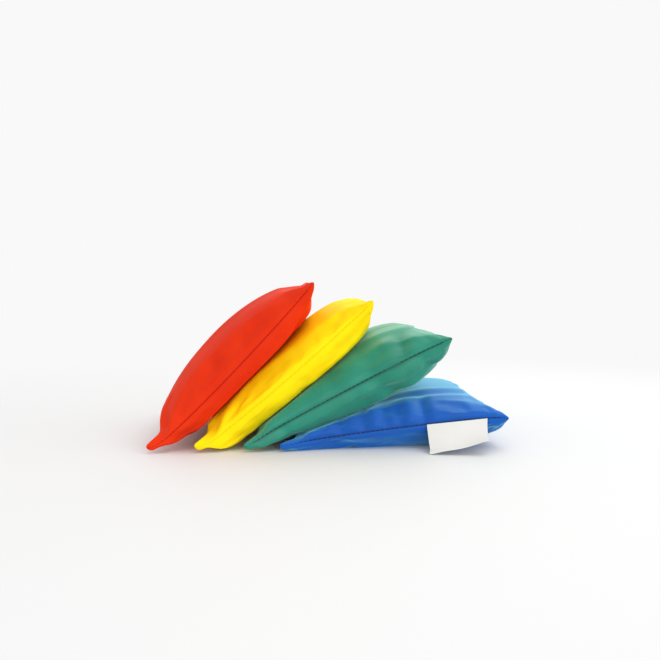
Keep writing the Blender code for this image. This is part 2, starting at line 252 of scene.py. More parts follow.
def chordPoint(place, share):
    # a point on the straight line from foot to head, as seen from the front
    lean = math.radians(place["lean"])
    reach = bagMake["side"] * share
    x = place["foot"][0] + reach * math.cos(lean)
    return Vector((x, place["foot"][2] + reach * math.sin(lean)))


def contactLine(above, below):
    # the straight line along which two bags press each other flat
    foot, head = below["contact"]
    first = chordPoint(below, 0).lerp(chordPoint(above, 0), foot)
    share = bagMake["headContact"]
    second = chordPoint(below, share).lerp(chordPoint(above, share), head)
    return first, second


def lineHeight(place, line, x):
    # how high that line stands over the bag's chord, in the bag's own frame
    lean = math.radians(place["lean"])
    along = Vector((math.cos(lean), math.sin(lean)))
    out = Vector((-along.y, along.x))
    start = line[0] - chordPoint(place, 0)
    step = line[1] - line[0]
    rate = step.dot(out) / step.dot(along)
    return start.dot(out) + rate * (x - start.dot(along))


def neighbourLine(name, side):
    spot = bagOrder.index(name) + (-1 if side == "upper" else 1)
    if spot < 0 or spot >= len(bagOrder):
        return None
    other = bagPlaces[bagOrder[spot]]
    mine = bagPlaces[name]
    return contactLine(other, mine) if side == "upper" else contactLine(mine, other)


def roomFor(name, side, x, seam):
    # how far this face may stand out before it meets its neighbour
    line = neighbourLine(name, side)
    if line is None:
        return np.ones_like(x)
    room = sideSign[side] * (lineHeight(bagPlaces[name], line, x) - seam)
    return np.maximum(room - bagMake["gap"], bagMake["leastRoom"])


def floorRoom(name, x, seam):
    floor = (Vector((0, 0)), Vector((1, 0)))
    return np.maximum(seam - lineHeight(bagPlaces[name], floor, x), bagMake["leastRoom"])


def softLess(first, second):
    # the smaller of two heights, with a rounded turn between them
    power = bagMake["pressPower"]
    first = np.maximum(first, tiny)
    return (first ** -power + second ** -power) ** (-1 / power)


def earShare(xShare, yShare, side="upper"):
    # 1 at the corners and 0 past the ears
    nearX, nearY = earRuns(xShare, yShare)
    reach = earValue("reach" if side == "upper" else "lowerReach", xShare)
    far = np.sqrt(nearX ** 2 + nearY ** 2) / reach
    return np.exp(-far ** bagMake["earPower"])


def plainHeight(place, side, xShare, yShare):
    # the face as its filling alone would shape it
    crown, fullest, footFullness, headFullness = place[side]
    height = crown * swellAlong(xShare, fullest, footFullness, headFullness)
    depthFullness = place["depthFullness"][0 if side == "upper" else 1]
    if side == "lower":
        footRun = xShare * bagMake["side"] / bagMake["footFillRun"]
        depthFullness = depthFullness * (1 - place["footFill"] * np.exp(-(footRun ** 2)))
    return height * swell(yShare, 0.5, depthFullness)


def earGrowth(place, side, xShare):
    # a foot ear widens slowly, and a head ear runs straight out to the face behind it
    ear = bagMake["headEar"]
    end = ear["reach"] / bagMake["side"]
    straight = (plainHeight(place, side, 1 - end, end) - ear["half"]) / ear["reach"]
    foot = bagMake["footEar"]["growth" if side == "upper" else "lowerGrowth"]
    return np.where(xShare < 0.5, foot, straight * place["headEarShare"])


def hornHeight(place, xShare, yShare, side="upper"):
    # a turned ear is round all about and blunt at its tip
    nearX, nearY = earRuns(xShare, yShare)
    run = np.maximum(np.maximum(nearX, nearY), tiny)
    across = np.minimum(nearX, nearY) / run
    half = earValue("half" if side == "upper" else "lowerHalf", xShare)
    tip = np.sqrt(1 - (1 - np.clip(run / half, 0, 1)) ** 2)
    return (half + earGrowth(place, side, xShare) * run) * tip * np.sqrt(1 - (1 - across) ** 2)


def foldHeight(name, side, x, y):
    # the soft dents and folds of one face, added up
    total = np.zeros_like(x)
    for foldSide, xShare, yShare, turn, halfLength, halfWidth, height in bagFolds[name]:
        if foldSide != side:
            continue
        turned = math.radians(turn)
        dx = x - xShare * bagMake["side"]
        dy = y - yShare * bagMake["side"]
        along = dx * math.cos(turned) + dy * math.sin(turned)
        across = -dx * math.sin(turned) + dy * math.cos(turned)
        total += height * np.exp(-((along / halfLength) ** 2) - (across / halfWidth) ** 2)
    return total


def faceHeight(name, side, xShare, yShare, crownShare=1.0):
    place = bagPlaces[name]
    x, y, seam = planOf(place, xShare, yShare)
    height = plainHeight(place, side, xShare, yShare) * crownShare
    ear = earShare(xShare, yShare, side)
    height = height * (1 - ear) + hornHeight(place, xShare, yShare, side) * ear
    height = softLess(height, roomFor(name, side, x, seam))
    if side == "lower":
        height = np.minimum(height, floorRoom(name, x, seam))
    return height


def closeSteps(share):
    # rows close together at the seam and wider in the middle
    bent = share - bagMake["rowBunching"] * math.sin(2 * math.pi * share) / (2 * math.pi)
    return (1 - math.cos(math.pi * bent)) / 2


def creasePull(height):
    return bagMake["creaseDepth"] * np.clip(1 - height / bagMake["creaseReach"], 0, 1) ** 2


def facePoints(name, side, xShare, yShare, crownShare=1.0):
    place = bagPlaces[name]
    height = faceHeight(name, side, xShare, yShare, crownShare)
    x, y, seam = planOf(place, xShare, yShare)
    middle = bagMake["side"] / 2
    pull = creasePull(height) * (1 - earShare(xShare, yShare))
    alongX = np.abs(xShare - 0.5) > np.abs(yShare - 0.5)
    x = x + (middle - x) / middle * pull * alongX
    y = y + (middle - y) / middle * pull * ~alongX
    return np.stack([x, y, seam + sideSign[side] * height], axis=1)


def toWorld(name):
    place = bagPlaces[name]
    turn = Matrix.Rotation(-math.radians(place["lean"]), 4, "Y")
    return Matrix.Translation(place["foot"]) @ turn


def worldPoints(name, points):
    matrix = np.array(toWorld(name))
    return points @ matrix[:3, :3].T + matrix[:3, 3]


def readPoints(mesh):
    points = np.empty(len(mesh.vertices) * 3, np.float64)
    mesh.vertices.foreach_get("co", points)
    return points.reshape(-1, 3)


def writePoints(mesh, points):
    mesh.vertices.foreach_set("co", np.ascontiguousarray(points, np.float64).reshape(-1))
    mesh.update()


def addGrid(cells):
    # a flat grid of cloth, and where each of its points lies along and across the square
    bpy.ops.object.select_all(action="DESELECT")
    bpy.ops.mesh.primitive_grid_add(x_subdivisions=cells, y_subdivisions=cells, size=1)
    made = bpy.context.active_object
    flat = readPoints(made.data)
    steps = np.vectorize(closeSteps)
    xShare = steps(np.clip(flat[:, 0] + 0.5, 0, 1))
    yShare = steps(np.clip(flat[:, 1] + 0.5, 0, 1))
    return made, xShare, yShare


def turnOver(made):
    onlyThis(made)
    bpy.ops.object.mode_set(mode="EDIT")
    bpy.ops.mesh.select_all(action="SELECT")
    bpy.ops.mesh.flip_normals()
    bpy.ops.object.mode_set(mode="OBJECT")


def sewTogether(upper, lower, name):
    # two faces made one closed piece along their seam
    onlyThis(upper)
    lower.select_set(True)
    bpy.ops.object.join()
    made = bpy.context.active_object
    made.name = name
    made.data.name = name
    bpy.ops.object.mode_set(mode="EDIT")
    bpy.ops.mesh.select_all(action="SELECT")
    bpy.ops.mesh.remove_doubles(threshold=bagMake["weld"])
    bpy.ops.object.mode_set(mode="OBJECT")
    return made


def addFace(name, side):
    # one panel as a flat grid of cloth, then shaped
    made, xShare, yShare = addGrid(bagMake["cells"])
    points = facePoints(name, side, xShare, yShare, puffMake["startShare"])
    writePoints(made.data, points)
    shares = made.data.attributes.new("clothPlace", "FLOAT_VECTOR", "POINT")
    laid = np.stack([xShare, yShare, np.full_like(xShare, sideSign[side])], axis=1)
    shares.data.foreach_set("vector", laid.reshape(-1))
    if side == "lower":
        turnOver(made)
    return made


def holdSeam(cover):
    # the seam and the crease beside it are held, and the hold fades out over the next few rows
    laid = np.empty(len(cover.data.vertices) * 3, np.float32)
    cover.data.attributes["clothPlace"].data.foreach_get("vector", laid)
    laid = laid.reshape(-1, 3)
    nearX = np.minimum(laid[:, 0], 1 - laid[:, 0])
    nearY = np.minimum(laid[:, 1], 1 - laid[:, 1])
    past = np.minimum(nearX, nearY) - puffMake["heldShare"]
    hold = np.clip(1 - past / puffMake["heldFade"], 0, 1)
    group = cover.vertex_groups.new(name="held")
    for index in np.nonzero(hold > 0)[0]:
        group.add([int(index)], float(hold[index]), "REPLACE")
    return laid


def blowUp(cover):
    # the cloth with pressure inside it, after the last frame
    onlyThis(cover)
    bpy.ops.object.modifier_add(type="CLOTH")
    cloth = cover.modifiers[-1]
    cloth.settings.quality = puffMake["quality"]
    cloth.settings.mass = puffMake["mass"]
    cloth.settings.tension_stiffness = puffMake["stretch"]
    cloth.settings.compression_stiffness = puffMake["stretch"]
    cloth.settings.shear_stiffness = puffMake["shear"]
    cloth.settings.bending_stiffness = puffMake["bending"]
    cloth.settings.use_pressure = True
    cloth.settings.uniform_pressure_force = puffMake["pressure"]
    cloth.settings.shrink_min = puffMake["shrink"]
    cloth.settings.vertex_group_mass = "held"
    cloth.settings.effector_weights.gravity = 0
    cloth.collision_settings.use_collision = False
    cloth.point_cache.frame_end = puffMake["frames"]
    scene = bpy.context.scene
    for step in range(1, puffMake["frames"] + 1):
        scene.frame_set(step)
    seen = cover.evaluated_get(bpy.context.evaluated_depsgraph_get())
    blown = readPoints(seen.data)
    cover.modifiers.remove(cloth)
    scene.frame_set(1)
    return blown


def puffCover(name, cover):
    # the cloth is blown up, creased and dented, then kept clear of what the bag rests against
    laid = holdSeam(cover)
    points = readPoints(cover.data)
    moved = blowUp(cover) - points
    length = np.linalg.norm(moved, axis=1, keepdims=True)
    points = points + moved * np.minimum(1, puffMake["cap"] / np.maximum(length, tiny))
    say(name + " puffed by up to " + str(round(float(length.max()) * 1000, 1)) + " mm")
    layFolds(name, cover, points, laid)
    keepClear(name, points, laid)
    writePoints(cover.data, worldPoints(name, points))
    cover.vertex_groups.clear()


def layFolds(name, cover, points, laid):
    # dents, folds and the small puckers that a seam draws into the cloth beside it
    writePoints(cover.data, points)
    normals = np.empty(len(points) * 3, np.float32)
    cover.data.vertices.foreach_get("normal", normals)
    seam = planOf(bagPlaces[name], laid[:, 0], laid[:, 1])[2]
    nearX, nearY = earRuns(laid[:, 0], laid[:, 1])
    run = np.where(nearX < nearY, laid[:, 1], laid[:, 0]) * bagMake["side"]
    start = bagOrder.index(name) * puckerMake["startStep"]
    shift = np.zeros(len(points))
    for side, sign in sideSign.items():
        rows = laid[:, 2] * sign > 0
        out = sign * (points[rows, 2] - seam[rows])
        fade = np.clip(out / puckerMake["fadeHeight"], 0, 1)
        fade = fade * (1 - earShare(laid[rows, 0], laid[rows, 1], side))
        phase = run[rows] * 2 * math.pi / puckerMake["length"]
        wave = 0
        for strength, rate, bagShift, sideShift in puckerMake["waves"]:
            wave = wave + strength * np.sin(phase * rate + bagShift * start + sideShift * sign)
        away = np.minimum(nearX[rows], nearY[rows]) / puckerMake["reach"]
        pucker = wave * away * np.exp(1 - away) * puckerMake["height"]
        fold = foldHeight(name, side, points[rows, 0], points[rows, 1])
        shift[rows] = (fold + pucker) * fade
    points += normals.reshape(-1, 3) * shift[:, None]


def keepClear(name, points, laid):
    # no face stands out past its neighbour's contact line or through the floor
    seam = planOf(bagPlaces[name], laid[:, 0], laid[:, 1])[2]
    for side, sign in sideSign.items():
        rows = laid[:, 2] * sign > 0
        x = points[rows, 0]
        out = sign * (points[rows, 2] - seam[rows])
        room = roomFor(name, side, x, seam[rows])
        if side == "lower":
            room = np.minimum(room, floorRoom(name, x, seam[rows]))
        out = np.minimum(out, room)
        points[rows, 2] = seam[rows] + sign * out


def finishCover(cover):
    onlyThis(cover)
    bpy.ops.object.modifier_add(type="SUBSURF")
    smooth = cover.modifiers[-1]
    smooth.levels = 1
    smooth.render_levels = 1
    bpy.ops.object.modifier_apply(modifier=smooth.name)
    bpy.ops.object.shade_smooth()


covers = {}
for bagName in bagOrder:
    upperFace, lowerFace = addFace(bagName, "upper"), addFace(bagName, "lower")
    covers[bagName] = sewTogether(upperFace, lowerFace, bagName + "Cover")
    puffCover(bagName, covers[bagName])
    finishCover(covers[bagName])
    say(bagName + " cover made")

# The pellets inside, never seen: a lumpy mass a little smaller than the cover
pelletMass = {"cells": 24, "crownShare": 0.8, "inset": 0.010, "slack": 0.0016}


def makePellets(name):
    faces = []
    middle = bagMake["side"] / 2
    for side, sign in sideSign.items():
        made, xShare, yShare = addGrid(pelletMass["cells"])
        points = facePoints(name, side, xShare, yShare)
        points[:, :2] = middle + (points[:, :2] - middle) * (1 - pelletMass["inset"] / middle)
        seam = planOf(bagPlaces[name], xShare, yShare)[2]
        out = sign * (points[:, 2] - seam) * pelletMass["crownShare"] - pelletMass["slack"]
        points[:, 2] = seam + sign * np.maximum(out, 0)
        writePoints(made.data, worldPoints(name, points))
        if side == "lower":
            turnOver(made)
        faces.append(made)
    mass = sewTogether(*faces, name + "Pellets")
    bpy.ops.object.shade_smooth()
    return mass


# The thread: one stitch lying in the crease, repeated all the way round
threadMake = {
    "radius": 0.00020, "length": 0.0021, "step": 0.0027, "sides": 8, "depth": 0.00055,
    "earDepth": 0.00016, "closeFrom": 0.3, "closeTo": 0.7, "pointStep": 0.0009,
}


def edgeShares(part):
    # places round the edge: the seam thread leaves the closed gap out
    count = int(round(bagMake["side"] / threadMake["pointStep"]))
    steps = [index / count for index in range(count + 1)]
    low, high = threadMake["closeFrom"], threadMake["closeTo"]
    if part == "closing":
        return [(share, 1.0) for share in steps if low <= share <= high]
    back = [(share, 1.0) for share in steps]
    route = [spot for spot in reversed(back) if spot[0] < low]
    route += [(0.0, share) for share in reversed(steps)][1:]
    route += [(share, 0.0) for share in steps][1:]
    route += [(1.0, share) for share in steps][1:]
    route += [spot for spot in reversed(back) if spot[0] > high][1:]
    return route


def creaseCurve(name, part):
    # the bottom of the crease, which is shallower at the corners
    shares = edgeShares(part)
    xShare = np.array([spot[0] for spot in shares])
    yShare = np.array([spot[1] for spot in shares])
    x, y, z = planOf(bagPlaces[name], xShare, yShare)
    middle = bagMake["side"] / 2
    corner = earShare(xShare, yShare)
    pull = threadMake["depth"] * (1 - corner) + threadMake["earDepth"] * corner
    alongX = np.abs(xShare - 0.5) > np.abs(yShare - 0.5)
    x, y = (np.where(alongX, x + (middle - x) / middle * pull, x),
            np.where(alongX, y, y + (middle - y) / middle * pull))
    route = worldPoints(name, np.stack([x, y, z], axis=1))
    curve = bpy.data.curves.new(name + part, "CURVE")
    curve.dimensions = "3D"
    line = curve.splines.new("POLY")
    line.points.add(len(route) - 1)
    for point, spot in zip(line.points, route):
        point.co = (*spot, 1)
    made = bpy.data.objects.new(name + part, curve)
    bpy.context.scene.collection.objects.link(made)
    return made


def makeThread(name, part):
    # one stitch, repeated along the crease
    path = creaseCurve(name, part)
    bpy.ops.object.select_all(action="DESELECT")
    sides = threadMake["sides"]
    bpy.ops.mesh.primitive_uv_sphere_add(segments=sides, ring_count=sides, radius=1)
    made = bpy.context.active_object
    made.name = name + part.capitalize() + "Thread"
    bpy.ops.object.mode_set(mode="EDIT")
    bpy.ops.mesh.select_all(action="SELECT")
    half, radius, middle = threadMake["length"] / 2, threadMake["radius"], (0, 0, 0)
    bpy.ops.transform.rotate(value=math.radians(90), orient_axis="Y", center_override=middle)
    bpy.ops.transform.resize(value=(half, radius, radius), center_override=middle)
    bpy.ops.transform.translate(value=(half, 0, 0))
    bpy.ops.object.mode_set(mode="OBJECT")
    bpy.ops.object.modifier_add(type="ARRAY")
    row = made.modifiers[-1]
    row.fit_type = "FIT_CURVE"
    row.curve = path
    row.use_relative_offset = False
    row.use_constant_offset = True
    row.constant_offset_displace = (threadMake["step"], 0, 0)
    bpy.ops.object.modifier_apply(modifier=row.name)
    bpy.ops.object.modifier_add(type="CURVE")
    along = made.modifiers[-1]
    along.object = path
    along.deform_axis = "POS_X"
    bpy.ops.object.modifier_apply(modifier=along.name)
    bpy.ops.object.shade_smooth()
    bpy.data.objects.remove(path)
    return made


pellets = {name: makePellets(name) for name in bagOrder}
seamThreads = {name: makeThread(name, "seam") for name in bagOrder}
closingThreads = {name: makeThread(name, "closing") for name in bagOrder}
say("pellets and threads made")

# The label: one strip folded in two, both ends caught in the front seam
labelMake = {
    "width": 0.0335, "drop": 0.0195, "cloth": 0.00028, "placeShare": 0.775, "seamInset": 0.0002,
    "topAngle": 30, "endAngle": 61, "twist": 26, "bendSteps": 12, "skew": 0.0032,
    "leafShift": 0.0005, "leafGap": 0.0005, "leafOpen": (0.4, 0.9), "openEnd": 1.02, "openPower": 0.5,
    "wave": 0.0004, "waveAcross": (7.5, 0.4), "waveDown": (0.5, 5, 3),
    "flare": 0.0007, "flareWidth": 0.07, "flarePlace": 0.95, "flareRun": 0.08,
    "acrossCells": 36, "downCells": 22, "smoothAngle": 50,
}


def labelBend(wide, dropShare):
    # how the cloth hangs: its angle turns as it drops, more so at one end of the strip
    steps = labelMake["bendSteps"]
    turn = labelMake["endAngle"] - labelMake["topAngle"]
    twist = labelMake["twist"] * wide
    place = Vector((0, 0))
    for step in range(steps):
        part = dropShare * (step + 0.5) / steps
        angle = math.radians(labelMake["topAngle"] + turn * part + twist * part)
        out = Vector((-math.sin(angle), -math.cos(angle)))
        place += out * labelMake["drop"] * dropShare / steps
    return place, angle


def labelPoint(wide, run, start, finish):
    # run is 0 to 2, down one leaf, round the fold and up the other
    leaf = 1 if run <= 1 else -1
    dropShare = run if run <= 1 else 2 - run
    place, angle = labelBend(wide, dropShare)
    rate, first = labelMake["waveAcross"]
    strength, downRate, slant = labelMake["waveDown"]
    wave = math.sin(wide * rate + first) + strength * math.sin(dropShare * downRate + wide * slant)
    wave = labelMake["wave"] * wave * dropShare
    taper = math.sin(math.pi * min(1, dropShare * labelMake["openEnd"])) ** labelMake["openPower"]
    least, more = labelMake["leafOpen"]
    gap = labelMake["leafGap"] * taper * (least + more * wide)
    side = Vector((-math.cos(angle), math.sin(angle))) * (leaf * gap / 2 + wave)
    down = (dropShare - labelMake["flarePlace"]) / labelMake["flareRun"]
    flare = math.exp(-((wide / labelMake["flareWidth"]) ** 2) - down ** 2)
    shift = labelMake["leafShift"] * (leaf < 0) * dropShare
    shift = shift - labelMake["skew"] * dropShare * wide - labelMake["flare"] * flare
    top = start.lerp(finish, wide)
    return top.x + shift, top.y + place.x + side.x, top.z + place.y + side.y


def makeLabel():
    halfShare = labelMake["width"] / bagMake["side"] / 2
    shares = np.array([labelMake["placeShare"] - halfShare, labelMake["placeShare"] + halfShare])
    x, y, z = planOf(bagPlaces["blue"], shares, np.zeros(2))
    ends = worldPoints("blue", np.stack([x, y - labelMake["seamInset"], z], axis=1))
    start, finish = Vector(ends[0]), Vector(ends[1])
    bpy.ops.object.select_all(action="DESELECT")
    across, down = labelMake["acrossCells"], labelMake["downCells"]
    bpy.ops.mesh.primitive_grid_add(x_subdivisions=across, y_subdivisions=down * 2, size=1)
    made = bpy.context.active_object
    made.name = "sideLabel"
    flat = readPoints(made.data)
    hung = [labelPoint(x + 0.5, (y + 0.5) * 2, start, finish) for x, y, _ in flat]
    writePoints(made.data, np.array(hung))
    onlyThis(made)
    bpy.ops.object.modifier_add(type="SOLIDIFY")
    wall = made.modifiers[-1]
    wall.thickness = labelMake["cloth"]
    wall.offset = 0
    bpy.ops.object.modifier_apply(modifier=wall.name)
    bpy.ops.object.shade_smooth_by_angle(angle=math.radians(labelMake["smoothAngle"]))
    return made


label = makeLabel()
say("label made")

# Finishes, with colours in linear light: the cloth, its darker mottling, the thread (also
# used as painted shade in the seam's crease), and the gloss and sheen of its coat
coatedCloth = {
    "red": {
        "colour": (0.75, 0.036, 0.008), "deep": (0.67, 0.026, 0.006), "thread": (0.43, 0.010, 0.004),
        "gloss": 0.03, "roughness": 0.50, "coat": 0.0, "sheen": 0.0, "sheenTint": (1.0, 0.6, 0.5),
    },
    "yellow": {
        "colour": (1.0, 0.77, 0.008), "deep": (0.98, 0.68, 0.004), "thread": (0.90, 0.63, 0.005),
        "gloss": 0.02, "roughness": 0.48, "coat": 0.0, "sheen": 0.0, "sheenTint": (1.0, 0.9, 0.5),
    },
    "green": {
        "colour": (0.016, 0.245, 0.165), "deep": (0.008, 0.170, 0.105), "thread": (0.003, 0.060, 0.045),
        "gloss": 0.20, "roughness": 0.42, "coat": 0.1, "sheen": 0.42, "sheenTint": (0.55, 1.0, 0.75),
    },
    "blue": {
        "colour": (0.001, 0.088, 0.450), "deep": (0.001, 0.060, 0.360), "thread": (0.002, 0.018, 0.130),
        "gloss": 0.06, "roughness": 0.42, "coat": 0.2, "sheen": 1.0, "sheenTint": (0.30, 0.85, 1.0),
    },
}
clothFinish = {
    "sheenRoughness": 0.50, "coatRoughness": 0.45,
    "creaseShadeRow": 0.000012, "creaseShadeSharpness": 2.5,  # how near the seam the crease gets its painted shade
    "weaveCount": 2600, "weaveDetail": 2, "weaveHeight": 0.00003, "weaveStrength": 0.6,
    "mottle": 0.7, "mottleCount": 38, "mottleDetail": 3, "mottleSpread": (0.35, 0.65),
    "wearCount": 120, "wearDetail": 4, "wearRoughness": (-0.05, 0.06),
}
plainFinish = {"dark": 0.82, "gloss": 0.12}
threadFinish = {"roughness": 0.6, "count": 6000, "height": 0.00004}
pelletFinish = {"colour": (0.7, 0.7, 0.68), "roughness": 0.5, "count": 400, "height": 0.0008}
labelFinish = {"colour": (0.78, 0.765, 0.735), "roughness": 0.75, "count": 3000, "height": 0.00004}


def newMaterial(name):
    made = bpy.data.materials.new(name)
    made.use_nodes = True
    nodes = made.node_tree.nodes
    return made, nodes, made.node_tree.links, nodes["Principled BSDF"]


def addMath(nodes, links, operation, first, second=None):
    # one step of sums on a socket, with a number or another socket
    step = nodes.new("ShaderNodeMath")
    step.operation = operation
    links.new(first, step.inputs[0])
    if isinstance(second, (int, float)):
        step.inputs[1].default_value = second
    elif second is not None:
        links.new(second, step.inputs[1])
    return step.outputs["Value"]


def addNoise(nodes, links, place, detail):
    noise = nodes.new("ShaderNodeTexNoise")
    links.new(place, noise.inputs["Vector"])
    noise.inputs["Detail"].default_value = detail
    return noise


def clothGroup():
    # weave and slow mottling of coated cloth, as a height, a colour mask and a roughness change
    group = bpy.data.node_groups.new("coatedClothSurface", "ShaderNodeTree")
    face = group.interface
    face.new_socket(name="Vector", in_out="INPUT", socket_type="NodeSocketVector")
    count = face.new_socket(name="Weave Count", in_out="INPUT", socket_type="NodeSocketFloat")
    count.default_value = clothFinish["weaveCount"]
    for socket in ("Height", "Mottle", "Wear"):
        face.new_socket(name=socket, in_out="OUTPUT", socket_type="NodeSocketFloat")
    nodes, links = group.nodes, group.links
    enter = nodes.new("NodeGroupInput")
    leave = nodes.new("NodeGroupOutput")
    place = enter.outputs["Vector"]
    grain = addNoise(nodes, links, place, clothFinish["weaveDetail"])
    links.new(enter.outputs["Weave Count"], grain.inputs["Scale"])
    links.new(grain.outputs["Fac"], leave.inputs["Height"])
    slow = addNoise(nodes, links, place, clothFinish["mottleDetail"])
    slow.inputs["Scale"].default_value = clothFinish["mottleCount"]
    spread = nodes.new("ShaderNodeMapRange")
    links.new(slow.outputs["Fac"], spread.inputs["Value"])
    spread.inputs["From Min"].default_value = clothFinish["mottleSpread"][0]
    spread.inputs["From Max"].default_value = clothFinish["mottleSpread"][1]
    links.new(spread.outputs["Result"], leave.inputs["Mottle"])
    rub = addNoise(nodes, links, place, clothFinish["wearDetail"])
    rub.inputs["Scale"].default_value = clothFinish["wearCount"]
    links.new(rub.outputs["Fac"], leave.inputs["Wear"])
    return group


def creaseShadeGroup():
    # 1 in the seam's crease, where the cloth is turned in and painted shade darkens it, and 0 just
    # beside it
    group = bpy.data.node_groups.new("seamCreaseShade", "ShaderNodeTree")
    face = group.interface
    face.new_socket(name="Vector", in_out="INPUT", socket_type="NodeSocketVector")
    face.new_socket(name="CreaseShade", in_out="OUTPUT", socket_type="NodeSocketFloat")
    nodes, links = group.nodes, group.links
    enter = nodes.new("NodeGroupInput")
    leave = nodes.new("NodeGroupOutput")
    parts = nodes.new("ShaderNodeSeparateXYZ")
    links.new(enter.outputs["Vector"], parts.inputs["Vector"])
    fromMiddle = []
    for axis in ("X", "Y"):
        centred = addMath(nodes, links, "SUBTRACT", parts.outputs[axis], 0.5)
        fromMiddle.append(addMath(nodes, links, "ABSOLUTE", centred))
    most = addMath(nodes, links, "MAXIMUM", *fromMiddle)
    # painted shade: a thin band along the seam, darkest at the seam itself
    band = nodes.new("ShaderNodeMapRange")
    band.inputs["From Min"].default_value = 0.5 - clothFinish["creaseShadeRow"] / bagMake["side"]
    band.inputs["From Max"].default_value = 0.5
    links.new(most, band.inputs["Value"])
    sharp = addMath(nodes, links, "POWER", band.outputs["Result"], clothFinish["creaseShadeSharpness"])
    links.new(sharp, leave.inputs["CreaseShade"])
    return group


clothSurface = clothGroup()
seamCreaseShade = creaseShadeGroup()


def placeGroup(nodes, links, tree, vector):
    group = nodes.new("ShaderNodeGroup")
    group.node_tree = tree
    links.new(vector, group.inputs["Vector"])
    return group


def mixColours(nodes, links, mask, first, second):
    mix = nodes.new("ShaderNodeMix")
    mix.data_type = "RGBA"
    links.new(mask, mix.inputs["Factor"])
    if isinstance(first, tuple):
        mix.inputs["A"].default_value = (*first, 1)
    else:
        links.new(first, mix.inputs["A"])
    mix.inputs["B"].default_value = (*second, 1)
    return mix.outputs["Result"]


def weaveBump(nodes, links, surface, shader, height):
    bump = nodes.new("ShaderNodeBump")
    bump.inputs["Distance"].default_value = height
    links.new(surface.outputs["Height"], bump.inputs["Height"])
    links.new(bump.outputs["Normal"], shader.inputs["Normal"])
    return bump


def coverMaterial(name):
    look = coatedCloth[name]
    made, nodes, links, shader = newMaterial(name + "CoatedCloth")
    place = nodes.new("ShaderNodeTexCoord")
    surface = placeGroup(nodes, links, clothSurface, place.outputs["Object"])
    mottle = addMath(nodes, links, "MULTIPLY", surface.outputs["Mottle"], clothFinish["mottle"])
    cloth = mixColours(nodes, links, mottle, look["colour"], look["deep"])
    laid = nodes.new("ShaderNodeAttribute")
    laid.attribute_name = "clothPlace"
    creaseShadeMask = placeGroup(nodes, links, seamCreaseShade, laid.outputs["Vector"])
    # painted shade: in the seam's crease the cloth colour is mixed towards the thread colour
    creaseShaded = mixColours(nodes, links, creaseShadeMask.outputs["CreaseShade"], cloth, look["thread"])
    links.new(creaseShaded, shader.inputs["Base Color"])
    rough = nodes.new("ShaderNodeMapRange")
    less, more = clothFinish["wearRoughness"]
    rough.inputs["To Min"].default_value = look["roughness"] + less
    rough.inputs["To Max"].default_value = look["roughness"] + more
    links.new(surface.outputs["Wear"], rough.inputs["Value"])
    links.new(rough.outputs["Result"], shader.inputs["Roughness"])
    bump = weaveBump(nodes, links, surface, shader, clothFinish["weaveHeight"])
    bump.inputs["Strength"].default_value = clothFinish["weaveStrength"]
    shader.inputs["Specular IOR Level"].default_value = look["gloss"]
    shader.inputs["Coat Weight"].default_value = look["coat"]
    shader.inputs["Coat Roughness"].default_value = clothFinish["coatRoughness"]
    shader.inputs["Sheen Weight"].default_value = look["sheen"]
    shader.inputs["Sheen Roughness"].default_value = clothFinish["sheenRoughness"]
    shader.inputs["Sheen Tint"].default_value = (*look["sheenTint"], 1)
    return made


def plainCloth(name, colour, finish):
    made, nodes, links, shader = newMaterial(name)
    place = nodes.new("ShaderNodeTexCoord")
    surface = placeGroup(nodes, links, clothSurface, place.outputs["Object"])
    surface.inputs["Weave Count"].default_value = finish["count"]
    dark = tuple(part * plainFinish["dark"] for part in colour)
    woven = mixColours(nodes, links, surface.outputs["Height"], dark, colour)
    links.new(woven, shader.inputs["Base Color"])
    weaveBump(nodes, links, surface, shader, finish["height"])
    shader.inputs["Roughness"].default_value = finish["roughness"]
    shader.inputs["Specular IOR Level"].default_value = plainFinish["gloss"]
    return made


def dress(item, material):
    item.data.materials.clear()
    item.data.materials.append(material)


for bagName in bagOrder:
    dress(covers[bagName], coverMaterial(bagName))
    threadCloth = plainCloth(bagName + "Thread", coatedCloth[bagName]["thread"], threadFinish)
    dress(seamThreads[bagName], threadCloth)
    dress(closingThreads[bagName], threadCloth)
    dress(pellets[bagName], plainCloth(bagName + "PelletMass", pelletFinish["colour"], pelletFinish))
dress(label, plainCloth("labelWeave", labelFinish["colour"], labelFinish))
say("finishes made")

for bagName in bagOrder:
    body = bagName + "_bag"
    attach(covers[bagName], body)
    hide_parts(bagName + "_upper_panel", bagName + "_lower_panel")
    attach(pellets[bagName], body)
    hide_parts(bagName + "_pellet_filling")
    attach(seamThreads[bagName], body)
    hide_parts(bagName + "_seam_thread")
    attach(closingThreads[bagName], body)
    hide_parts(bagName + "_closing_thread")
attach(label, "label")
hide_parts("side_label")

# Stage: a pale floor that fades into the white room further out
stageMake = {
    "half": 3.0, "floorColour": (0.722, 0.724, 0.722), "roomColour": (0.947, 0.947, 0.947),
    "roughness": 0.6, "gloss": 0.2, "fadeFrom": 0.2, "fadeTo": 0.55, "skyLight": 0.88,
}


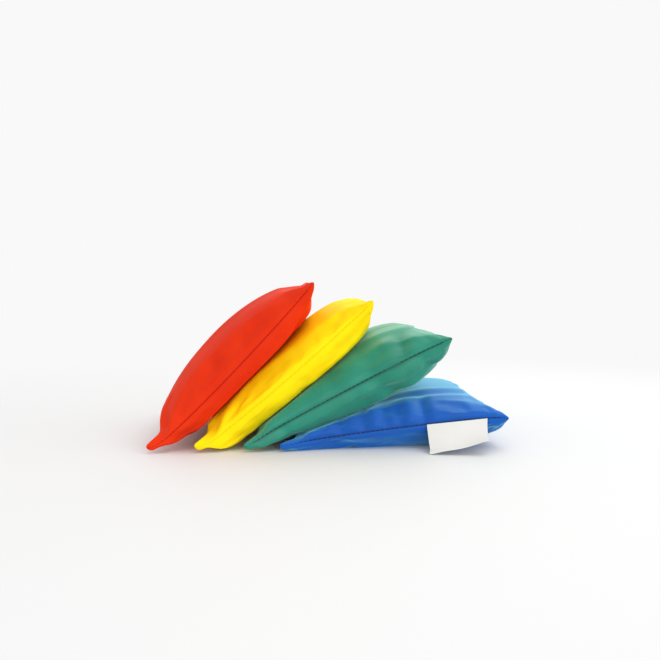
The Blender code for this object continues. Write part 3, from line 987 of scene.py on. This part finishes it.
def makeStage():
    bpy.ops.object.select_all(action="DESELECT")
    bpy.ops.mesh.primitive_plane_add(size=stageMake["half"] * 2, location=(0, 0, 0))
    floor = bpy.context.active_object
    floor.name = "floor"
    made, nodes, links, shader = newMaterial("paleFloor")
    shader.inputs["Base Color"].default_value = (*stageMake["floorColour"], 1)
    shader.inputs["Roughness"].default_value = stageMake["roughness"]
    shader.inputs["Specular IOR Level"].default_value = stageMake["gloss"]
    place = nodes.new("ShaderNodeTexCoord")
    far = nodes.new("ShaderNodeVectorMath")
    far.operation = "LENGTH"
    links.new(place.outputs["Object"], far.inputs[0])
    fade = nodes.new("ShaderNodeMapRange")
    fade.interpolation_type = "SMOOTHSTEP"
    fade.inputs["From Min"].default_value = stageMake["fadeFrom"]
    fade.inputs["From Max"].default_value = stageMake["fadeTo"]
    links.new(far.outputs["Value"], fade.inputs["Value"])
    path = nodes.new("ShaderNodeLightPath")
    seen = addMath(nodes, links, "MULTIPLY", fade.outputs["Result"], path.outputs["Is Camera Ray"])
    glow = nodes.new("ShaderNodeEmission")
    glow.inputs["Color"].default_value = (*stageMake["roomColour"], 1)
    mix = nodes.new("ShaderNodeMixShader")
    links.new(seen, mix.inputs["Fac"])
    links.new(shader.outputs["BSDF"], mix.inputs[1])
    links.new(glow.outputs["Emission"], mix.inputs[2])
    links.new(mix.outputs["Shader"], nodes["Material Output"].inputs["Surface"])
    floor.data.materials.append(made)


def makeWorld():
    # one light grey to look at, and another strength to light by
    world = bpy.data.worlds.new("paleRoom")
    bpy.context.scene.world = world
    world.use_nodes = True
    nodes, links = world.node_tree.nodes, world.node_tree.links
    nodes.clear()
    out = nodes.new("ShaderNodeOutputWorld")
    seen = nodes.new("ShaderNodeBackground")
    seen.inputs["Color"].default_value = (*stageMake["roomColour"], 1)
    lights = nodes.new("ShaderNodeBackground")
    lights.inputs["Color"].default_value = (1.0, 1.0, 1.0, 1)
    lights.inputs["Strength"].default_value = stageMake["skyLight"]
    path = nodes.new("ShaderNodeLightPath")
    rays = path.outputs["Is Camera Ray"], path.outputs["Is Transmission Ray"]
    either = addMath(nodes, links, "MAXIMUM", *rays)
    mix = nodes.new("ShaderNodeMixShader")
    links.new(either, mix.inputs["Fac"])
    links.new(lights.outputs["Background"], mix.inputs[1])
    links.new(seen.outputs["Background"], mix.inputs[2])
    links.new(mix.outputs["Shader"], out.inputs["Surface"])


# Soft windows: place, width and height, power and colour, all turned to the same point
lampAim = (0, 0, 0.03)
lampMake = {
    "windowBehind": ((0.4, 1.0, 0.9), (1.4, 0.8), 3.0, (0.98, 0.99, 1.0)),
    "windowAbove": ((0.5, 0.1, 1.5), (1.6, 1.2), 9.0, (1.0, 1.0, 1.0)),
    "windowRight": ((1.4, -0.3, 0.7), (1.4, 0.8), 4.2, (1.0, 1.0, 1.0)),
    "windowFront": ((0.6, -1.6, 0.32), (1.4, 0.6), 8.6, (1.0, 1.0, 1.0)),
}


def addLamp(name, place, size, power, colour):
    data = bpy.data.lights.new(name, "AREA")
    data.shape = "RECTANGLE"
    data.size, data.size_y = size
    data.energy = power
    data.color = colour
    lamp = bpy.data.objects.new(name, data)
    bpy.context.scene.collection.objects.link(lamp)
    lamp.location = place
    lamp.rotation_euler = (Vector(lampAim) - Vector(place)).to_track_quat("-Z", "Y").to_euler()


for lampName, lampValues in lampMake.items():
    addLamp(lampName, *lampValues)
makeStage()
makeWorld()

say("stage and lamps made")

# The camera, placed from the red bag's foot: metres and degrees, and the focal length in pixels
cameraMake = {
    "fromFootX": 0.0770, "distance": 0.417, "height": 0.092, "yaw": 2.93, "pitch": 3.47,
    "focal": 776.0, "pictureWidth": 660, "sensor": 36, "nearest": 0.01,
}


def makeCamera():
    data = bpy.data.cameras.new("camera")
    data.sensor_width = cameraMake["sensor"]
    data.lens = cameraMake["focal"] / cameraMake["pictureWidth"] * cameraMake["sensor"]
    data.clip_start = cameraMake["nearest"]
    camera = bpy.data.objects.new("camera", data)
    bpy.context.scene.collection.objects.link(camera)
    footX, footY, _ = bagPlaces["red"]["foot"]
    x, y = footX + cameraMake["fromFootX"], footY - cameraMake["distance"]
    camera.location = (x, y, cameraMake["height"])
    pitch, yaw = math.radians(90 - cameraMake["pitch"]), -math.radians(cameraMake["yaw"])
    camera.rotation_euler = (pitch, 0, yaw)
    bpy.context.scene.camera = camera


makeCamera()
bpy.context.scene.view_settings.view_transform = "Standard"

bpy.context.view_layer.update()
say("done")
